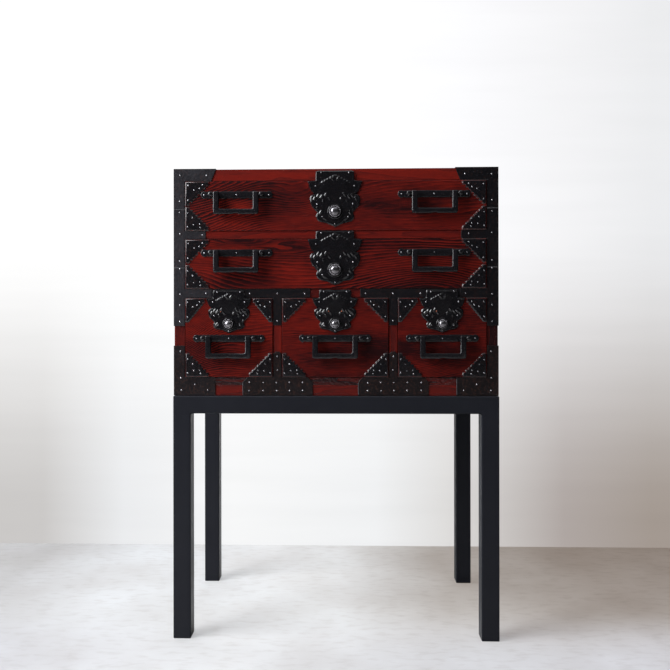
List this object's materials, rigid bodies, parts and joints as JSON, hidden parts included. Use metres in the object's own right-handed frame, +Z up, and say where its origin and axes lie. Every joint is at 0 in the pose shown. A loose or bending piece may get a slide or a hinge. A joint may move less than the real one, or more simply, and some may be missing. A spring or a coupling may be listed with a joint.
{
  "type": "tansu drawer chest on stand",
  "caption": "Small red-lacquered drawer chest with scalloped black iron fittings, bail handles and push-to-lock bosses, on a slim square-tube stand",
  "frame": {"origin": "on the floor under the middle of the object's box", "axes": "+Z up, the front with the drawers faces -Y, +X to the right seen from the front"},
  "size_m": [0.61, 0.362, 0.8836],
  "materials": {
    "red_lacquer": "gloss",
    "tray_wood": "matte",
    "black_iron": "satin",
    "stand_paint": "satin"
  },
  "bodies": {
    "chest": {"stand_frame": "stand_paint", "plinth_front": "red_lacquer", "plinth_left": "red_lacquer", "plinth_right": "red_lacquer", "top_board": "red_lacquer", "bottom_board": "red_lacquer", "left_side": "red_lacquer", "right_side": "red_lacquer", "back_panel": "red_lacquer", "upper_shelf": "red_lacquer", "lower_shelf": "red_lacquer", "left_partition": "red_lacquer", "right_partition": "red_lacquer", "left_post_strap": "black_iron", "left_t_strap": "black_iron", "left_foot_corner": "black_iron", "left_base_strap": "black_iron", "right_post_strap": "black_iron", "right_t_strap": "black_iron", "right_foot_corner": "black_iron", "right_base_strap": "black_iron"},
    "top_drawer_left_handle_bail": {"top_drawer_left_handle_bail": "black_iron"},
    "top_drawer_right_handle_bail": {"top_drawer_right_handle_bail": "black_iron"},
    "top_drawer": {"top_drawer_front": "red_lacquer", "top_drawer_tray": "tray_wood", "top_drawer_lock_plate": "black_iron", "top_drawer_left_handle_plate": "black_iron", "top_drawer_right_handle_plate": "black_iron"},
    "top_drawer_lock_boss": {"top_drawer_lock_boss": "black_iron"},
    "top_drawer_lock_bolt": {"top_drawer_lock_bolt": "black_iron"},
    "middle_drawer_left_handle_bail": {"middle_drawer_left_handle_bail": "black_iron"},
    "middle_drawer_right_handle_bail": {"middle_drawer_right_handle_bail": "black_iron"},
    "middle_drawer": {"middle_drawer_front": "red_lacquer", "middle_drawer_tray": "tray_wood", "middle_drawer_lock_plate": "black_iron", "middle_drawer_left_handle_plate": "black_iron", "middle_drawer_right_handle_plate": "black_iron"},
    "middle_drawer_lock_boss": {"middle_drawer_lock_boss": "black_iron"},
    "middle_drawer_lock_bolt": {"middle_drawer_lock_bolt": "black_iron"},
    "lower_left_drawer_handle_bail": {"lower_left_drawer_handle_bail": "black_iron"},
    "lower_left_drawer": {"lower_left_drawer_front": "red_lacquer", "lower_left_drawer_tray": "tray_wood", "lower_left_drawer_lock_plate": "black_iron", "lower_left_drawer_handle_plate": "black_iron"},
    "lower_left_drawer_lock_boss": {"lower_left_drawer_lock_boss": "black_iron"},
    "lower_left_drawer_lock_bolt": {"lower_left_drawer_lock_bolt": "black_iron"},
    "lower_middle_drawer_handle_bail": {"lower_middle_drawer_handle_bail": "black_iron"},
    "lower_middle_drawer": {"lower_middle_drawer_front": "red_lacquer", "lower_middle_drawer_tray": "tray_wood", "lower_middle_drawer_lock_plate": "black_iron", "lower_middle_drawer_handle_plate": "black_iron"},
    "lower_middle_drawer_lock_boss": {"lower_middle_drawer_lock_boss": "black_iron"},
    "lower_middle_drawer_lock_bolt": {"lower_middle_drawer_lock_bolt": "black_iron"},
    "lower_right_drawer_handle_bail": {"lower_right_drawer_handle_bail": "black_iron"},
    "lower_right_drawer": {"lower_right_drawer_front": "red_lacquer", "lower_right_drawer_tray": "tray_wood", "lower_right_drawer_lock_plate": "black_iron", "lower_right_drawer_handle_plate": "black_iron"},
    "lower_right_drawer_lock_boss": {"lower_right_drawer_lock_boss": "black_iron"},
    "lower_right_drawer_lock_bolt": {"lower_right_drawer_lock_bolt": "black_iron"}
  },
  "joints": [
    {"name": "top_drawer_slide", "type": "slide", "parent": "chest", "child": "top_drawer", "axis": [0, -1, 0], "range_m": [0, 0.24]},
    {"name": "top_drawer_left_handle_swing", "type": "hinge", "parent": "top_drawer", "child": "top_drawer_left_handle_bail", "pos_m": [-0.185, -0.1765, 0.8336], "axis": [-1, 0, 0], "range_deg": [0, 150]},
    {"name": "top_drawer_right_handle_swing", "type": "hinge", "parent": "top_drawer", "child": "top_drawer_right_handle_bail", "pos_m": [0.185, -0.1765, 0.8336], "axis": [-1, 0, 0], "range_deg": [0, 150]},
    {"name": "top_drawer_boss_press", "type": "slide", "parent": "top_drawer", "child": "top_drawer_lock_boss", "axis": [0, 1, 0], "range_m": [0, 0.003], "stiffness_N_per_m": 300, "springref_m": -0.005},
    {"name": "top_drawer_bolt_lift", "type": "slide", "parent": "top_drawer", "child": "top_drawer_lock_bolt", "axis": [0, 0, 1], "range_m": [0, 0.0046]},
    {"name": "middle_drawer_slide", "type": "slide", "parent": "chest", "child": "middle_drawer", "axis": [0, -1, 0], "range_m": [0, 0.24]},
    {"name": "middle_drawer_left_handle_swing", "type": "hinge", "parent": "middle_drawer", "child": "middle_drawer_left_handle_bail", "pos_m": [-0.185, -0.1765, 0.7246], "axis": [-1, 0, 0], "range_deg": [0, 150]},
    {"name": "middle_drawer_right_handle_swing", "type": "hinge", "parent": "middle_drawer", "child": "middle_drawer_right_handle_bail", "pos_m": [0.185, -0.1765, 0.7246], "axis": [-1, 0, 0], "range_deg": [0, 150]},
    {"name": "middle_drawer_boss_press", "type": "slide", "parent": "middle_drawer", "child": "middle_drawer_lock_boss", "axis": [0, 1, 0], "range_m": [0, 0.003], "stiffness_N_per_m": 300, "springref_m": -0.005},
    {"name": "middle_drawer_bolt_lift", "type": "slide", "parent": "middle_drawer", "child": "middle_drawer_lock_bolt", "axis": [0, 0, 1], "range_m": [0, 0.0046]},
    {"name": "lower_left_drawer_slide", "type": "slide", "parent": "chest", "child": "lower_left_drawer", "axis": [0, -1, 0], "range_m": [0, 0.24]},
    {"name": "lower_left_drawer_handle_swing", "type": "hinge", "parent": "lower_left_drawer", "child": "lower_left_drawer_handle_bail", "pos_m": [-0.19975, -0.1765, 0.5641], "axis": [-1, 0, 0], "range_deg": [0, 150]},
    {"name": "lower_left_drawer_boss_press", "type": "slide", "parent": "lower_left_drawer", "child": "lower_left_drawer_lock_boss", "axis": [0, 1, 0], "range_m": [0, 0.003], "stiffness_N_per_m": 300, "springref_m": -0.005},
    {"name": "lower_left_drawer_bolt_lift", "type": "slide", "parent": "lower_left_drawer", "child": "lower_left_drawer_lock_bolt", "axis": [0, 0, 1], "range_m": [0, 0.0046]},
    {"name": "lower_middle_drawer_slide", "type": "slide", "parent": "chest", "child": "lower_middle_drawer", "axis": [0, -1, 0], "range_m": [0, 0.24]},
    {"name": "lower_middle_drawer_handle_swing", "type": "hinge", "parent": "lower_middle_drawer", "child": "lower_middle_drawer_handle_bail", "pos_m": [0, -0.1765, 0.5641], "axis": [-1, 0, 0], "range_deg": [0, 150]},
    {"name": "lower_middle_drawer_boss_press", "type": "slide", "parent": "lower_middle_drawer", "child": "lower_middle_drawer_lock_boss", "axis": [0, 1, 0], "range_m": [0, 0.003], "stiffness_N_per_m": 300, "springref_m": -0.005},
    {"name": "lower_middle_drawer_bolt_lift", "type": "slide", "parent": "lower_middle_drawer", "child": "lower_middle_drawer_lock_bolt", "axis": [0, 0, 1], "range_m": [0, 0.0046]},
    {"name": "lower_right_drawer_slide", "type": "slide", "parent": "chest", "child": "lower_right_drawer", "axis": [0, -1, 0], "range_m": [0, 0.24]},
    {"name": "lower_right_drawer_handle_swing", "type": "hinge", "parent": "lower_right_drawer", "child": "lower_right_drawer_handle_bail", "pos_m": [0.19975, -0.1765, 0.5641], "axis": [-1, 0, 0], "range_deg": [0, 150]},
    {"name": "lower_right_drawer_boss_press", "type": "slide", "parent": "lower_right_drawer", "child": "lower_right_drawer_lock_boss", "axis": [0, 1, 0], "range_m": [0, 0.003], "stiffness_N_per_m": 300, "springref_m": -0.005},
    {"name": "lower_right_drawer_bolt_lift", "type": "slide", "parent": "lower_right_drawer", "child": "lower_right_drawer_lock_bolt", "axis": [0, 0, 1], "range_m": [0, 0.0046]}
  ],
  "couplings": [
    {"joint": "top_drawer_bolt_lift", "follows": "top_drawer_boss_press", "ratio": 1.5},
    {"joint": "middle_drawer_bolt_lift", "follows": "middle_drawer_boss_press", "ratio": 1.5},
    {"joint": "lower_left_drawer_bolt_lift", "follows": "lower_left_drawer_boss_press", "ratio": 1.5},
    {"joint": "lower_middle_drawer_bolt_lift", "follows": "lower_middle_drawer_boss_press", "ratio": 1.5},
    {"joint": "lower_right_drawer_bolt_lift", "follows": "lower_right_drawer_boss_press", "ratio": 1.5}
  ]
}
